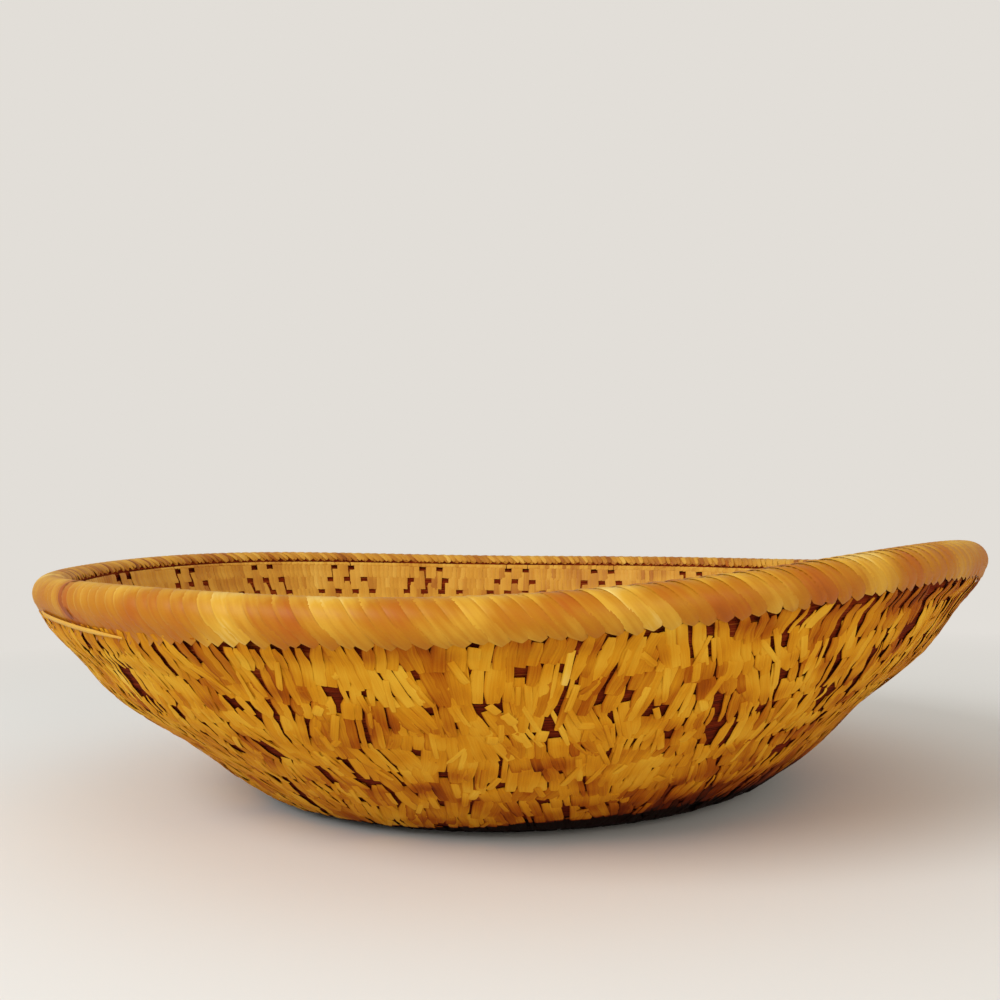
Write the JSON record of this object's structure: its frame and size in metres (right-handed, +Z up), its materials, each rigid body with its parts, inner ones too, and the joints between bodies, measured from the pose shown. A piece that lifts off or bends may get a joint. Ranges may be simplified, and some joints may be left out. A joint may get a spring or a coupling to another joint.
{
  "type": "coiled grass basket",
  "caption": "Shallow round bowl of coiled grass with a flat base, a wall flared in a saddle-warped curve, sewn rounds and a thick wrapped rim.",
  "frame": {"origin": "middle of the flat underside, on the surface that the basket stands on", "axes": "+Z up out of the bowl's mouth, -Y towards the front, where the picture looks from, +X to the right seen from there"},
  "size_m": [0.305, 0.3052, 0.0793],
  "materials": {
    "grass_coil": "dry grass bundle, dull straw brown",
    "sewing_strip": "flat pale straw splint, satin",
    "rim_coil": "dry grass bundle under the binding",
    "rim_binding": "broad smooth amber splint, satin",
    "start_knot": "tightly wound dark straw"
  },
  "bodies": {
    "root": {"start_knot": "start_knot", "base_coil": "grass_coil", "lower_wall_coil": "grass_coil", "upper_wall_coil": "grass_coil", "rim_coil": "rim_coil", "rim_binding": "rim_binding", "sewing_strip_1": "sewing_strip", "sewing_strip_2": "sewing_strip", "sewing_strip_3": "sewing_strip", "sewing_strip_4": "sewing_strip", "sewing_strip_5": "sewing_strip", "sewing_strip_6": "sewing_strip", "sewing_strip_7": "sewing_strip"}
  },
  "joints": []
}
